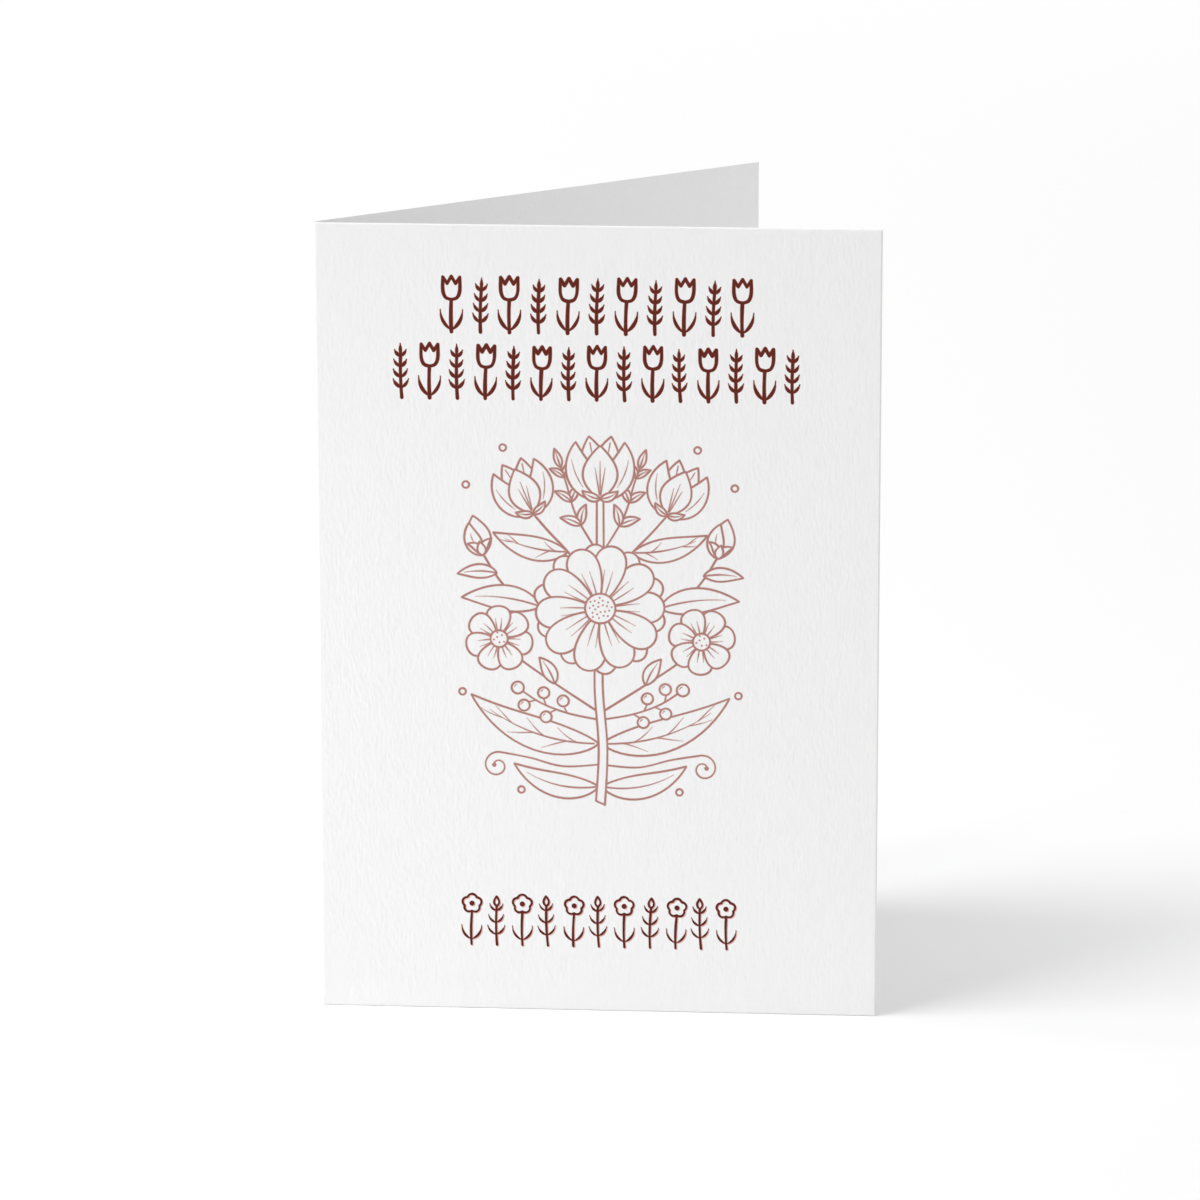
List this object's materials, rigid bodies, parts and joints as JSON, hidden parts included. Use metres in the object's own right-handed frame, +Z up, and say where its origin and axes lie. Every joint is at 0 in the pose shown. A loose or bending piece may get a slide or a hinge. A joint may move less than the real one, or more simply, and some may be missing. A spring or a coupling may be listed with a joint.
{
  "type": "folded greeting card",
  "caption": "Upright folded card of thick white felt-marked board, standing half open on its lower edges, with a scored and rounded fold.",
  "frame": {"origin": "middle of the bounding box's base, on the surface that the card stands on", "axes": "+X from the fold to the cover's free edge, +Y from the cover to the back panel, +Z up; the cover's outer face looks along -Y"},
  "size_m": [0.1036, 0.0694, 0.148],
  "materials": {
    "felt_board": "uncoated white board, matt, with a fine felt mark on the outside and a smoother inside",
    "maroon_ink": "dark maroon printing ink on the cover, dry and matt",
    "rose_ink": "dusty rose printing ink on the cover, dry and matt"
  },
  "bodies": {
    "root": {"card": "felt_board"}
  },
  "joints": []
}
